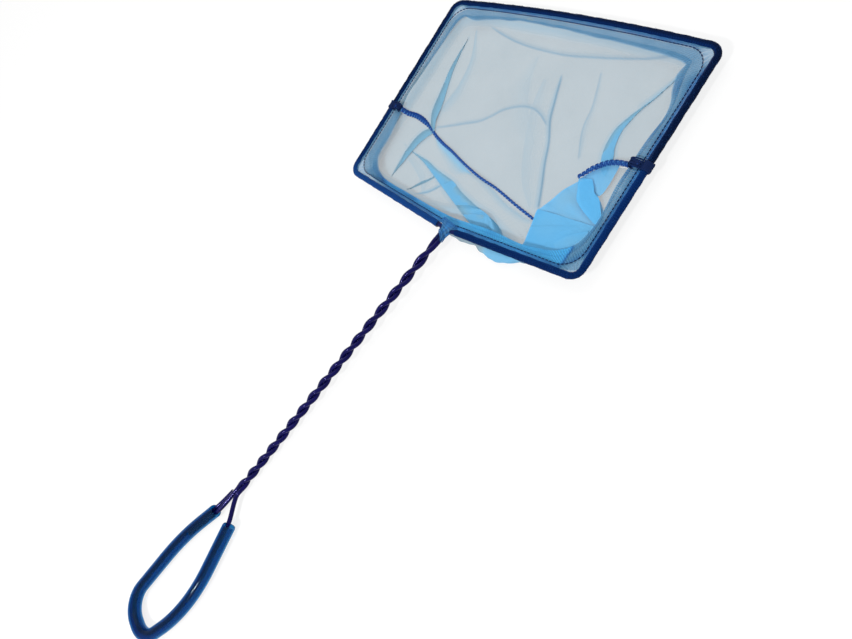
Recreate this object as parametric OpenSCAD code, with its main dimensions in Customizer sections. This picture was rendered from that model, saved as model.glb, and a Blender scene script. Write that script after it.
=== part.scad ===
// Aquarium fish net: one coated wire bent to a hoop and twisted into a handle
// with a tube grip, and a fine mesh bag sewn over the hoop.
// It lies on a level surface, +Y from the grip to the far bar, +Z up.

/* [Hoop] */
// Width of the hoop between the centre lines of its side bars
hoop_w = 202; // [120:1:320]
// Depth of the hoop between its corners, along the handle
hoop_d = 146; // [90:1:220]
// How far the far bar bows outward at its middle
far_bow = 3.3; // [1:0.1:9]
// How far the near bars dip from the corners to the neck
near_dip = 7.5; // [2:0.5:14]
// How far the neck lies to the right of the hoop's middle
neck_shift = 5; // [0:0.5:12]
// Bend radius of the wire at the hoop's corners
corner_r = 7; // [5:0.5:14]
// Height of the hoop wire above the surface
hoop_z = 9; // [8:0.5:20]

/* [Wire] */
// Outer diameter of the coated wire
wire_d = 3; // [2.2:0.1:3.2]
// Diameter of the steel core
core_d = 2; // [1:0.1:2]
// Gap between the two strands where they lie side by side
strand_gap = 0.06; // [0.02:0.01:0.2]

/* [Handle] */
// Bend radius where the near bars turn into the handle
neck_r = 4; // [3:0.5:7]
// Length from the hoop to the start of the twist
neck_len = 9; // [8:0.5:16]
// Sideways lean of the handle, in degrees
handle_lean = 9.4; // [0:0.1:12]
// Length of the twisted stretch
twist_len = 221; // [140:1:320]
// Half turns of the twist, odd so that the strands change sides
twist_half_turns = 17; // [11:2:23]
// How much tighter the twist winds toward the grip
tighten_share = 0.13; // [0:0.01:0.3]
// Share of the twist over which it eases in and out
ease_share = 0.05; // [0.02:0.01:0.1]
// Length of the bare wires from the fork to the grip tube
fork_len = 20; // [18:1:34]

/* [Grip loop] */
// Width of the grip loop between the centre lines of its legs
loop_w = 40; // [36:1:66]
// Length of the grip loop from the tube's left end to its far bend
loop_len = 103; // [92:1:170]
// Bend radius at the two far corners of the loop
loop_corner_r = 16; // [12:0.5:17]
// Gentle bend radius of the left leg
left_leg_r = 180; // [100:5:240]
// Gentle bend radius of the right leg
right_leg_r = 100; // [70:5:110]
// Outer diameter of the grip tube
tube_od = 9.2; // [8.8:0.1:11]
// Wall of the grip tube
tube_wall = 1.2; // [0.5:0.1:1.2]
// Length of the cut wire end that lies inside the tube
tail_len = 29; // [12:1:30]

/* [Hem and bag] */
// Thickness of the mesh sleeve round the wire
sleeve_t = 0.5; // [0.3:0.1:0.8]
// Thickness of the gathered mesh in the bag's wall
bag_t = 0.6; // [0.4:0.1:1]
// Clearance between soft pieces and what they lie on
soft_gap = 0.3; // [0.2:0.05:0.4]
// Width of the hem's turned edge inside the bars
band_w = 6.5; // [5:0.5:12]
// How far the bag sags past the near bars
bag_sag = 16; // [4:0.5:18]

/* [Seams and ties] */
// Width of the overlocked seam
seam_w = 2.4; // [1.6:0.1:3]
// Thickness of the overlocked seam
seam_t = 1; // [0.6:0.1:1.2]
// Diameter of the sewing thread in the hem
stitch_d = 0.6; // [0.4:0.1:0.8]
// Diameter of the tying thread
tie_thread_d = 0.7; // [0.5:0.1:1]
// Turns of thread in a tie
tie_turns = 4; // [3:1:5]
// Height of the left tie's middle along the side bar, as a share of the hoop's depth
left_tie_share = -0.11; // [-0.2:0.01:0.2]
// Height of the right tie's middle along the side bar, as a share of the hoop's depth
right_tie_share = -0.015; // [-0.2:0.01:0.2]

/* [Hidden] */

// Faces round a round section and along a bend
round_fn = 32;
bend_steps = 10;
// Where a leg meets a bend: the gap that a bead closes, and how far it stands out
joint_gap = 0.05;
joint_bead = 0.02;
// How far a bore runs past its tube's ends
bore_past = 1;
// Sides and rings of the swept wires
wire_sides = 8;
rings_per_turn = 10;
leg_rings = 7;

// Places that follow from the sizes above
wire_r = wire_d / 2;
strand_r = (wire_d + strand_gap) / 2;
sleeve_ri = wire_r + soft_gap;
sleeve_r = sleeve_ri + sleeve_t;
tube_ir = tube_od / 2 - tube_wall;
grip_z = tube_od / 2 + joint_bead;
pair_offset = strand_r;

// Share of each half of the far bar that bends evenly
far_curve_share = 0.96;
far_rise = far_bow / (1 - far_curve_share / 2);

// Corners of the hoop's centre line, its middle at the origin for now
corner_x = hoop_w / 2;
corner_y = hoop_d / 2;
neck_point = [neck_shift, -corner_y - near_dip];
handle_dir = [-sin(handle_lean), -cos(handle_lean)];
handle_side = [cos(handle_lean), -sin(handle_lean)];
far_half = norm([corner_x, far_rise]) - corner_r;
far_turn = 2 * atan(far_rise / corner_x);
far_r = far_half * far_curve_share / tan(far_turn / 2);

// Grip loop, as shares of its width and length from the tube's left end
loop_shares = [
    [-0.11, -0.02], [-0.315, -0.354], [-0.33, -1], [0.48, -1], [0.79, -0.556], [0.335, 0.02]
];
fork_y = -neck_len - twist_len;
loop_y = fork_y - fork_len;
loop_pts = [for (s = loop_shares) [s[0] * loop_w, loop_y + s[1] * loop_len]];
loop_rs = [left_leg_r, loop_corner_r, loop_corner_r, right_leg_r];

// The origin is under the middle of the whole net
far_reach = corner_y + far_bow + sleeve_r;
far_bend_x = loop_pts[3][0] - tangent_len(loop_pts, loop_rs, 3);
far_bend_y = loop_pts[3][1] + loop_corner_r;
grip_reach = -neck_point[1] - far_bend_y * cos(handle_lean)
    + far_bend_x * sin(handle_lean) + loop_corner_r + grip_z;
hoop_y = (grip_reach - far_reach) / 2;

// The wire in the tube keeps to the outer wall on the left leg, crosses over at
// the far end and keeps to the inner wall on the right leg
wire_side_shares = [-1, -1, 0, 1, 1];
wire_pts = shifted(loop_pts, wire_side_shares, pair_offset);
wire_rs = [
    for (i = [0 : len(loop_rs) - 1])
        loop_rs[i] - pair_offset * (wire_side_shares[i] + wire_side_shares[i + 1]) / 2
];

// Vectors and bends in the plane
function unit(v) = v / norm(v);
function left_of(v) = [-v[1], v[0]];
function turn(a, b, c) = atan2(
    (b - a)[0] * (c - b)[1] - (b - a)[1] * (c - b)[0], (b - a) * (c - b));
function tangent_len(pts, radii, i) = (i == 0 || i == len(pts) - 1)
    ? 0 : radii[i - 1] * tan(abs(turn(pts[i - 1], pts[i], pts[i + 1])) / 2);

// A flat path whose legs are moved to the left by their own shares of an offset
function shifted(pts, shares, offset) =
    let (ways = [for (i = [1 : len(pts) - 1]) unit(pts[i] - pts[i - 1])], last = len(pts) - 1)
        [for (i = [0 : last])
            i == 0 || i == last
                ? pts[i] + left_of(ways[min(i, last - 1)]) * shares[min(i, last - 1)] * offset
                : let (c = ways[i - 1] * ways[i], p = shares[i - 1] * offset, q = shares[i] * offset)
                    pts[i] + (left_of(ways[i - 1]) * (p - c * q) + left_of(ways[i]) * (q - c * p))
                        / (1 - c * c)];

// A round rod along straight legs and true round bends of a flat path. A bead
// a hair wider than the rod closes each joint of a leg and a bend.
module bent_rod(pts, radii, r) {
    for (i = [0 : len(pts) - 2]) {
        way = unit(pts[i + 1] - pts[i]);
        start = tangent_len(pts, radii, i) + (i == 0 ? 0 : joint_gap);
        end = tangent_len(pts, radii, i + 1) + (i == len(pts) - 2 ? 0 : joint_gap);
        translate(pts[i] + way * start)
            rotate([0, 0, atan2(way[1], way[0])])
            rotate([90, 0, 90])
            cylinder(h = norm(pts[i + 1] - pts[i]) - start - end, r = r, $fn = round_fn);
    }
    for (i = [1 : len(pts) - 2]) {
        angle = turn(pts[i - 1], pts[i], pts[i + 1]);
        way = unit(pts[i] - pts[i - 1]);
        next_way = unit(pts[i + 1] - pts[i]);
        reach = tangent_len(pts, radii, i);
        to_centre = left_of(way) * sign(angle) * radii[i - 1];
        first = atan2(-to_centre[1], -to_centre[0]);
        translate(pts[i] - way * reach + to_centre)
            rotate([0, 0, angle > 0 ? first : first + angle])
            rotate_extrude(angle = abs(angle), $fn = ceil(bend_steps * 360 / abs(angle)))
            translate([radii[i - 1], 0])
            circle(r = r, $fn = round_fn);
        bead(pts[i] - way * reach, way, r);
        bead(pts[i] + next_way * reach, next_way, r);
    }
}

module bead(place, way, r) {
    translate(place)
        rotate([0, 0, atan2(way[1], way[0])])
        rotate([0, 90, 0])
        sphere(r = r + joint_bead, $fn = round_fn);
}

// The same rod with a bore
module bent_tube(pts, radii, outer, inner) {
    difference() {
        bent_rod(pts, radii, outer);
        bent_rod(bored_past(pts), radii, inner);
    }
}
function bored_past(pts) = [
    for (i = [0 : len(pts) - 1])
        i == 0
            ? pts[0] + unit(pts[0] - pts[1]) * bore_past
            : i == len(pts) - 1 ? pts[i] + unit(pts[i] - pts[i - 1]) * bore_past : pts[i]
];

// Rings of points round a path in space, flattened by the two radii
function way_at(path, i) = unit(path[min(i + 1, len(path) - 1)] - path[max(i - 1, 0)]);
function rings(path, ru, rv, sides) = [
    for (i = [0 : len(path) - 1])
        let (t = way_at(path, i), u = unit(cross(t, [0, 0, 1])), v = cross(u, t))
            for (k = [0 : sides - 1])
                path[i] + u * ru * cos(360 * k / sides) + v * rv * sin(360 * k / sides)
];
function skin(n, sides, first, inward) = [
    for (i = [0 : n - 2], k = [0 : sides - 1])
        let (
            a = first + i * sides + k,
            b = first + i * sides + (k + 1) % sides,
            c = b + sides,
            d = a + sides
        )
            each inward ? [[a, b, c], [a, c, d]] : [[a, c, b], [a, d, c]]
];

// A solid cord along a path
module swept_rod(path, ru, rv, sides) {
    n = len(path);
    last = (n - 1) * sides;
    polyhedron(
        rings(path, ru, rv, sides),
        concat(
            skin(n, sides, 0, true),
            [[for (k = [sides - 1 : -1 : 0]) k]],
            [[for (k = [0 : sides - 1]) last + k]]
        )
    );
}

// A hollow coat along a path
module swept_coat(path, outer, inner, sides) {
    n = len(path);
    bore = n * sides;
    last = (n - 1) * sides;
    polyhedron(
        concat(rings(path, outer, outer, sides), rings(path, inner, inner, sides)),
        concat(
            skin(n, sides, 0, true),
            skin(n, sides, bore, false),
            [for (k = [0 : sides - 1])
                let (m = (k + 1) % sides) each [[m, k, bore + k], [m, bore + k, bore + m]]],
            [for (k = [0 : sides - 1])
                let (m = (k + 1) % sides)
                    each [
                        [last + k, last + m, bore + last + k],
                        [last + m, bore + last + m, bore + last + k]
                    ]]
        )
    );
}

// Places of the parts
module at_hoop() {
    translate([0, hoop_y, hoop_z]) children();
}
module at_neck(z) {
    translate([neck_point[0], hoop_y + neck_point[1], z])
        rotate([0, 0, -handle_lean])
        children();
}

// Hoop
hoop_pts = [
    neck_point + handle_side * strand_r + handle_dir * neck_len,
    neck_point + handle_side * strand_r,
    [corner_x, -corner_y],
    [corner_x, corner_y],
    [0, corner_y + far_rise],
    [-corner_x, corner_y],
    [-corner_x, -corner_y],
    neck_point - handle_side * strand_r,
    neck_point - handle_side * strand_r + handle_dir * neck_len
];
hoop_rs = [neck_r, corner_r, corner_r, far_r, corner_r, corner_r, neck_r];

module hoop_wire() {
    color([0.03, 0.1, 0.3])
        at_hoop()
        bent_tube(hoop_pts, hoop_rs, wire_r, core_d / 2);
}

module hoop_core() {
    color("silver")
        at_hoop()
        bent_rod(hoop_pts, hoop_rs, core_d / 2);
}

// Twisted handle. The strands start side by side, wind as a right-handed
// pair that tightens toward the grip, and part at the fork.
twist_rings = ceil(twist_half_turns / 2 * rings_per_turn);
lead_share = 0.004;

function eased(t) = (t < ease_share
    ? t * t / (2 * ease_share)
    : t > 1 - ease_share
        ? 1 - ease_share - (1 - t) * (1 - t) / (2 * ease_share)
        : t - ease_share / 2) / (1 - ease_share);
function wound(t) = eased(t * (1 - tighten_share) + tighten_share * t * t);
function settle(t) = t * t * (3 - 2 * t);
function strand_height(t) = hoop_z + (grip_z - hoop_z) * settle(t);
function strand_point(t, side) =
    let (a = 180 * twist_half_turns * wound(t))
        [side * strand_r * cos(a), -neck_len - twist_len * t,
            strand_height(t) + side * strand_r * sin(a)];
function twist_path(side) = [
    strand_point(0, side),
    for (i = [0 : twist_rings - 1])
        strand_point(lead_share + (1 - 2 * lead_share) * i / (twist_rings - 1), side),
    strand_point(1, side)
];

// Legs of the fork: each runs from the twist to its end of the tube
function across(v) = [v[0], v[1], 0];
left_dir = unit(loop_pts[1] - loop_pts[0]);
right_dir = unit(loop_pts[4] - loop_pts[5]);
left_entry = loop_pts[0] + left_of(left_dir) * pair_offset;
right_entry = wire_pts[5];
leg_pull_share = 0.9;
function leg_mix(u, from, to, dir) =
    let (pull = (from[1] - to[1]) * leg_pull_share, v = 1 - u)
        from * (v * v * (1 + 2 * u)) + [0, -1] * (u * v * v * pull)
            + to * (u * u * (3 - 2 * u)) - dir * (u * u * v * pull);
function leg_path(from, to, dir) = [
    for (i = [1 : leg_rings])
        let (p = leg_mix(i / leg_rings, from, to, dir)) [p[0], p[1], grip_z]
];

// The left bar's strand ends on the right and goes on round the loop
left_strand_path = concat(
    twist_path(-1),
    leg_path([strand_r, fork_y], right_entry - right_dir * lead_share * twist_len, right_dir),
    [[right_entry[0], right_entry[1], grip_z]]
);
// The right bar's strand ends on the left, cut off inside the tube
right_strand_path = concat(
    twist_path(1),
    leg_path([-strand_r, fork_y], left_entry, left_dir),
    [across(left_entry + left_dir * tail_len) + [0, 0, grip_z]]
);

module left_strand() {
    color([0.1, 0.07, 0.4])
        at_neck(0)
        swept_coat(left_strand_path, wire_r, core_d / 2, wire_sides);
}

module left_strand_core() {
    color("silver")
        at_neck(0)
        swept_rod(left_strand_path, core_d / 2, core_d / 2, wire_sides);
}

module right_strand() {
    color([0.07, 0.05, 0.33])
        at_neck(0)
        swept_coat(right_strand_path, wire_r, core_d / 2, wire_sides);
}

module right_strand_core() {
    color("silver")
        at_neck(0)
        swept_rod(right_strand_path, core_d / 2, core_d / 2, wire_sides);
}

// Grip loop: the long strand's wire inside a loose tube
module grip_wire() {
    color([0.07, 0.05, 0.33])
        at_neck(grip_z)
        bent_tube(wire_pts, wire_rs, wire_r, core_d / 2);
}

module grip_core() {
    color("silver")
        at_neck(grip_z)
        bent_rod(wire_pts, wire_rs, core_d / 2);
}

module grip_tube() {
    color([0.1, 0.35, 0.75, 0.7])
        at_neck(grip_z)
        bent_tube(loop_pts, loop_rs, tube_od / 2, tube_ir);
}

// The wire's last end leaves the tube on the outer side of the short strand
// and is tucked against it below the fork
return_clear_share = 1.04;
// Angle at which its far end lies under the strand
return_low = -25;
function return_point(u) =
    let (
        p = leg_mix(u, [-strand_r, fork_y], left_entry, left_dir),
        q = leg_mix(u - 1 / leg_rings, [-strand_r, fork_y], left_entry, left_dir),
        side = left_of(unit(p - q)),
        low = return_low * (1 - settle(u)),
        gap = 2 * strand_r * (1 + (return_clear_share - 1) * (1 - u))
    )
        across(p - side * gap * cos(low)) + [0, 0, grip_z + gap * sin(low)];
return_path = [
    across(wire_pts[0]) + [0, 0, grip_z],
    across(wire_pts[0] - left_dir * lead_share * twist_len) + [0, 0, grip_z],
    for (i = [leg_rings - 1 : -1 : 1]) return_point(i / leg_rings)
];

module return_end() {
    color([0.1, 0.07, 0.4])
        at_neck(0)
        swept_coat(return_path, wire_r, core_d / 2, wire_sides);
}

module return_core() {
    color("silver")
        at_neck(0)
        swept_rod(return_path, core_d / 2, core_d / 2, wire_sides);
}

// Hem: a mesh sleeve round the bars, parted at the ties and the neck
left_tie_y = left_tie_share * hoop_d;
right_tie_y = right_tie_share * hoop_d;
neck_free = 2 * neck_r;
neck_left_end = neck_point + unit([-corner_x, -corner_y] - neck_point) * neck_free;
neck_right_end = neck_point + unit([corner_x, -corner_y] - neck_point) * neck_free;

module far_hem() {
    color([0.42, 0.6, 0.78])
        at_hoop()
        bent_tube(
            [
                [corner_x, right_tie_y + soft_gap],
                [corner_x, corner_y],
                [0, corner_y + far_rise],
                [-corner_x, corner_y],
                [-corner_x, left_tie_y + soft_gap]
            ],
            [corner_r, far_r, corner_r],
            sleeve_r,
            sleeve_ri
        );
}

module near_left_hem() {
    color([0.35, 0.55, 0.76])
        at_hoop()
        bent_tube(
            [[-corner_x, left_tie_y - soft_gap], [-corner_x, -corner_y], neck_left_end],
            [corner_r],
            sleeve_r,
            sleeve_ri
        );
}

module near_right_hem() {
    color([0.35, 0.55, 0.76])
        at_hoop()
        bent_tube(
            [[corner_x, right_tie_y - soft_gap], [corner_x, -corner_y], neck_right_end],
            [corner_r],
            sleeve_r,
            sleeve_ri
        );
}

// Closed loops of points inside the hoop's bowed outline
side_steps = 9;
corner_steps = 4;
function near_share(x) = x < neck_shift
    ? (x + corner_x) / (neck_shift + corner_x)
    : (corner_x - x) / (corner_x - neck_shift);
function bowed(p) =
    let (sx = p[0] / corner_x, sy = p[1] / corner_y)
        [p[0], p[1] + sy * (p[1] > 0 ? far_bow * (1 - sx * sx) : near_dip * near_share(p[0]))];
function inset_loop(inset, r) =
    let (a = corner_x - inset - r, b = corner_y - inset - r)
        [for (q = [0 : 3])
            let (cx = (q == 0 || q == 3) ? a : -a, cy = q < 2 ? b : -b,
                nx = (q == 1 || q == 2) ? -a : a, ny = q < 2 ? b : -b,
                next = q == 0 ? [-a, b + r] : q == 1 ? [-a - r, -b] : q == 2 ? [a, -b - r] : [a + r, b],
                last = [nx, ny] + r * [cos(90 * q + 90), sin(90 * q + 90)])
                each concat(
                    [for (k = [0 : corner_steps])
                        bowed([cx, cy] + r * [cos(90 * (q + k / corner_steps)),
                            sin(90 * (q + k / corner_steps))])],
                    [for (k = [1 : side_steps - 1])
                        bowed(last + (next - last) * k / side_steps)]
                )];
// The far wall leans after the near one by a share of the sag
far_sag_share = 0.5;
function lifted(loop, z, sag) = [
    for (p = loop) [p[0], p[1] - sag * (p[1] < 0 ? 1 : far_sag_share), z]
];

// A skin through a stack of closed loops. It comes back to its first loop,
// or its first and last loop are closed by fans round their middles.
function middle(loop) = [
    for (k = [0 : 2]) ([for (p = loop) 1] * [for (p = loop) p[k]]) / len(loop)
];
module loop_stack(loops, comes_back) {
    n = len(loops[0]);
    m = len(loops);
    walls = [
        for (i = [0 : m - (comes_back ? 1 : 2)], k = [0 : n - 1])
            let (here = i * n, next = ((i + 1) % m) * n, k2 = (k + 1) % n)
                each [[here + k, next + k2, here + k2], [here + k, next + k, next + k2]]
    ];
    fans = [
        for (k = [0 : n - 1])
            let (k2 = (k + 1) % n, top = (m - 1) * n)
                each [[m * n, k, k2], [m * n + 1, top + k2, top + k]]
    ];
    points = [for (l = loops) each l];
    if (comes_back)
        polyhedron(points, walls);
    else
        polyhedron(concat(points, [middle(loops[0]), middle(loops[m - 1])]), concat(walls, fans));
}

// Bag: a limp pouch of mesh that lies flattened under the hoop.
// Each row is inset, height share, corner radius and share of the sag.
bag_rim = sleeve_r + soft_gap;
bag_shares = [
    [0, 1, 0, 0], [0.05, 0.66, 0.15, 0.05], [0.25, 0.3, 0.35, 0.85], [0.6, 0.08, 0.7, 1], [1, 0, 1, 1]
];
bag_spread = 22;
bag_round = 16;
bag_min_r = 5;
bag_top = hoop_z;
function bag_loop(s, in, up) = lifted(
    inset_loop(bag_rim + s[0] * bag_spread + in, bag_min_r + s[2] * bag_round),
    s[1] * bag_top + up, s[3] * bag_sag);

module net_bag() {
    rows = len(bag_shares);
    color([0.78, 0.84, 0.87])
        translate([0, hoop_y, 0])
        loop_stack(
            concat(
                [for (i = [rows - 1 : -1 : 0]) bag_loop(bag_shares[i], 0, 0)],
                [for (i = [0 : rows - 1])
                    bag_loop(bag_shares[i], bag_t, bag_t * (1 - bag_shares[i][1]))]
            ),
            false
        );
}

// The hem's turned edge, a flat band that hangs inside the bars
band_start = bag_rim + bag_t + soft_gap;
band_drop_share = 0.4;
band_r = 4;
band_end_r = 14;
function band_height(share) = hoop_z - share * band_drop_share * hoop_z;
function band_loop(share, up) = lifted(
    inset_loop(band_start + share * band_w, band_r + share * (band_end_r - band_r)),
    band_height(share) + up, 0);

module hem_band() {
    color([0.5, 0.72, 0.86])
        translate([0, hoop_y, 0])
        loop_stack([band_loop(0, 0), band_loop(0, bag_t), band_loop(1, bag_t), band_loop(1, 0)], true);
}

// Lockstitch line of the hem, lying on the band
stitch_share = 0.12;
stitch_corner_r = 13;
function stitch_loop(side, up) = lifted(
    inset_loop(band_start + stitch_share * band_w + side, stitch_corner_r),
    band_height(stitch_share) + bag_t + soft_gap + up, 0);

module hem_stitch() {
    color([0.1, 0.25, 0.55])
        translate([0, hoop_y, 0])
        loop_stack(
            [
                stitch_loop(0, 0), stitch_loop(0, stitch_d),
                stitch_loop(stitch_d, stitch_d), stitch_loop(stitch_d, 0)
            ],
            true
        );
}

// Seams: each row is a place as shares of the half width and half depth, and
// a height share from the floor of the bag to the band
left_seam_shares = [
    [-0.93, -0.225, 1], [-0.88, -0.227, 1], [-0.82, -0.23, 0.9], [-0.74, -0.232, 0.55],
    [-0.66, -0.24, 0.22], [-0.58, -0.285, 0.04], [-0.54, -0.31, 0], [-0.36, -0.39, 0],
    [-0.19, -0.47, 0], [-0.03, -0.54, 0], [0.15, -0.565, 0], [0.31, -0.62, 0], [0.52, -0.685, 0]
];
right_seam_shares = [
    [0.93, -0.035, 1], [0.88, -0.035, 1], [0.83, -0.04, 0.95], [0.77, -0.07, 0.6],
    [0.73, -0.13, 0.22], [0.67, -0.25, 0], [0.62, -0.42, 0]
];
seam_floor = bag_t + soft_gap + seam_t / 2;
seam_top = hoop_z + bag_t + soft_gap + seam_t / 2;
seam_sides = 6;
function seam_path(rows) = [
    for (s = rows) [s[0] * corner_x, s[1] * corner_y, seam_floor + s[2] * (seam_top - seam_floor)]
];

module seam(rows) {
    color([0.12, 0.25, 0.6])
        translate([0, hoop_y, 0])
        swept_rod(seam_path(rows), seam_w / 2, seam_t / 2, seam_sides);
}
module left_seam() {
    seam(left_seam_shares);
}
module right_seam() {
    seam(right_seam_shares);
}

// Ties: thread wound round the bar over the ends of the hem
tie_r = sleeve_r + tie_thread_d / 2 + strand_gap;
tie_rings = 12;
tie_sides = 5;
tie_pitch = tie_thread_d + 2 * strand_gap;

module tie(x, y) {
    n = tie_turns * tie_rings;
    path = [
        for (i = [0 : n])
            [tie_r * cos(360 * i / tie_rings), tie_pitch * (i / tie_rings - tie_turns / 2),
                tie_r * sin(360 * i / tie_rings)]
    ];
    color([0.06, 0.1, 0.3])
        at_hoop()
        translate([x, y, 0])
        coil(path);
}

// A round thread wound about the Y axis
function coil_rings(path) = [
    for (p = path)
        let (out = unit([p[0], 0, p[2]]))
            for (k = [0 : tie_sides - 1])
                p + tie_thread_d / 2 * (out * cos(360 * k / tie_sides)
                    + [0, 1, 0] * sin(360 * k / tie_sides))
];
module coil(path) {
    n = len(path);
    last = (n - 1) * tie_sides;
    polyhedron(
        coil_rings(path),
        concat(
            skin(n, tie_sides, 0, true),
            [[for (k = [tie_sides - 1 : -1 : 0]) k]],
            [[for (k = [0 : tie_sides - 1]) last + k]]
        )
    );
}
module left_tie() {
    tie(-corner_x, left_tie_y);
}
module right_tie() {
    tie(corner_x, right_tie_y);
}

hoop_wire();
hoop_core();
left_strand();
left_strand_core();
right_strand();
right_strand_core();
grip_wire();
grip_core();
return_end();
return_core();
grip_tube();
far_hem();
near_left_hem();
near_right_hem();
hem_band();
hem_stitch();
net_bag();
left_seam();
right_seam();
left_tie();
right_tie();
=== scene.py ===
import math
import bpy
import numpy as np
from mathutils import Matrix, Vector


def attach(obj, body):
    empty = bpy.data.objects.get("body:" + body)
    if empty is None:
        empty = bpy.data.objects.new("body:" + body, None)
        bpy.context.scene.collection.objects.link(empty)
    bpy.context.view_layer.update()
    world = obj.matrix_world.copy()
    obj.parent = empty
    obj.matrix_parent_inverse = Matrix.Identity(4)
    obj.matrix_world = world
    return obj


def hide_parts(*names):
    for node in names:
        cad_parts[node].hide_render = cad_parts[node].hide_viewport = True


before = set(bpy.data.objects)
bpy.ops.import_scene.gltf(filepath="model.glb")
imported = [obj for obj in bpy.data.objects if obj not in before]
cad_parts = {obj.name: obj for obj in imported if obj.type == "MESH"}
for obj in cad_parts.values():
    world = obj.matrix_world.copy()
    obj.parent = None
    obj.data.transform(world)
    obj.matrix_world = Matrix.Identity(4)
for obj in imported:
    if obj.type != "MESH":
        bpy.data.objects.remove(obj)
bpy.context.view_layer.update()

metre = 0.001  # everything below is in millimetres until it becomes a mesh
fullTurn = 2 * math.pi
upward = np.array([0, 0, 1.0])

# Sizes shared with the CAD source
hoop = {
    "width": 202, "depth": 146, "height": 9, "middleY": 178.065, "farBow": 3.3, "nearDip": 7.5,
    "neckShift": 5, "cornerR": 7, "neckR": 4, "neckLength": 9, "farCurve": 0.96,
}
wire = {"radius": 1.5, "strandR": 1.53, "coatR": 1.62, "sides": 16, "step": 1.2, "cutEnd": 0.8}
handle = {
    "lean": 9.4, "twist": 221, "halfTurns": 17, "tighten": 0.13, "ease": 0.05, "fork": 20, "forkPull": 0.9,
    "loopWidth": 40, "loopLength": 103, "gripZ": 4.62, "tail": 29, "spread": 0.7, "spreadEnds": 0.03,
}
halfW, halfD = hoop["width"] / 2, hoop["depth"] / 2
neck = np.array([hoop["neckShift"], -halfD - hoop["nearDip"]])
lean = math.radians(handle["lean"])
handleDir = np.array([-math.sin(lean), -math.cos(lean)])
handleSide = np.array([math.cos(lean), -math.sin(lean)])


def unit(v):
    # each vector divided by its length
    return v / np.maximum(np.linalg.norm(v, axis=-1, keepdims=True), 1e-12)


def rise(t):
    # 0 to 1 with a soft start and end: 3 t^2 - 2 t^3
    t = np.clip(t, 0, 1)
    return t * t * (3 - 2 * t)


def past(value, start, width):
    # 0 up to the start, 1 from a width further on, and a soft rise between
    return rise((value - start) / width)


def bell(t):
    # 1 at 0 and soon 0 on both sides: e to the power of -t^2
    return np.exp(-t ** 2)


def join(*columns):
    # arrays stretched to one shape and set side by side
    return np.stack(np.broadcast_arrays(*columns), -1)


def leftOf(v):
    # a flat vector turned by a quarter turn: (-y, x)
    return join(-v[..., 1], v[..., 0])


def lengthAlong(points):
    # the sum of the steps up to each point
    steps = np.linalg.norm(np.diff(points, axis=0), axis=1)
    return np.concatenate([[0], np.cumsum(steps)])


def evenSteps(points, step=None, count=None):
    # the same path read at equal steps of its length
    points = np.asarray(points, float)
    along = lengthAlong(points)
    count = count or max(2, int(round(along[-1] / step)) + 1)
    places = np.linspace(0, along[-1], count)
    return join(*[np.interp(places, along, column) for column in points.T])


def throughPoints(points, step=None, count=None):
    # a cubic through the points whose slope at each is half the chord between its neighbours
    p = np.asarray(points, float)
    p = np.vstack([2 * p[0] - p[1], p, 2 * p[-1] - p[-2]])
    a, b, c, d = (p[i:len(p) - 3 + i, None] for i in range(4))
    t = np.linspace(0, 1, 24, endpoint=False)[None, :, None]
    curve = b + 0.5 * t * (c - a + t * (2 * a - 5 * b + 4 * c - d + t * (3 * (b - c) + d - a)))
    return evenSteps(np.vstack([curve.reshape(-1, p.shape[1]), c[-1]]), step, count)


def bentPath(corners, radii, step=1.0):
    # straight legs and round arcs: an arc begins radius * tan(turn / 2) before its corner
    corners = np.asarray(corners, float)
    parts = [corners[:1]]
    for before, corner, after, radius in zip(corners, corners[1:], corners[2:], radii):
        way, nextWay = unit(corner - before), unit(after - corner)
        turn = math.atan2(way[0] * nextWay[1] - way[1] * nextWay[0], way @ nextWay)
        first = corner - way * radius * abs(math.tan(turn / 2))
        centre = first + math.copysign(radius, turn) * leftOf(way)
        a = np.linspace(0, turn, 16)[:, None]
        parts.append(centre + (first - centre) * np.cos(a) + leftOf(first - centre) * np.sin(a))
    parts.append(corners[-1:])
    return evenSteps(np.vstack(parts), step)


def raised(flat, z):
    # flat places with a height
    return join(flat[..., 0], flat[..., 1], z)


def onHoop(flat, z):
    # flat places about the hoop's middle, set at their place and height
    return raised(np.asarray(flat, float) + [0, hoop["middleY"]], z)


def onHandle(p):
    # places along the handle, turned by its lean: neck + first * sideways - second * outward
    return onHoop(neck + p[..., :1] * handleSide - p[..., 1:2] * handleDir, p[..., 2])


def wayAlong(path, closed=False):
    # the direction between each point's two neighbours
    if closed:
        return unit(np.roll(path, -1, 0) - np.roll(path, 1, 0))
    return unit(np.gradient(path, axis=0))


def sideOf(way, up=upward):
    # square to the way, level with the floor unless another direction is up
    return unit(np.cross(way, up))


def carry(path, profile, up=upward, closed=False):
    # a profile carried along a path: place + sideways * first + upward * second, square to the path
    way = wayAlong(path, closed)
    side = sideOf(way, up)
    profile = np.broadcast_to(profile, (len(path),) + np.shape(profile)[-2:])
    return path[:, None] + side[:, None] * profile[..., :1] + np.cross(side, way)[:, None] * profile[..., 1:]


def ringProfile(radius, sides):
    # a circle (cosine, sine) * radius, or one circle for each place when radius is an array
    a = np.linspace(0, fullTurn, sides, endpoint=False)
    return join(np.cos(a), np.sin(a)) * np.asarray(radius, float)[..., None, None]


def endedRings(count, radius, first, last, sides):
    # the same circle at each place, times a share of its own at the two ends
    radii = np.full(count, float(radius))
    radii[[0, -1]] *= first, last
    return ringProfile(radii, sides)


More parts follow.
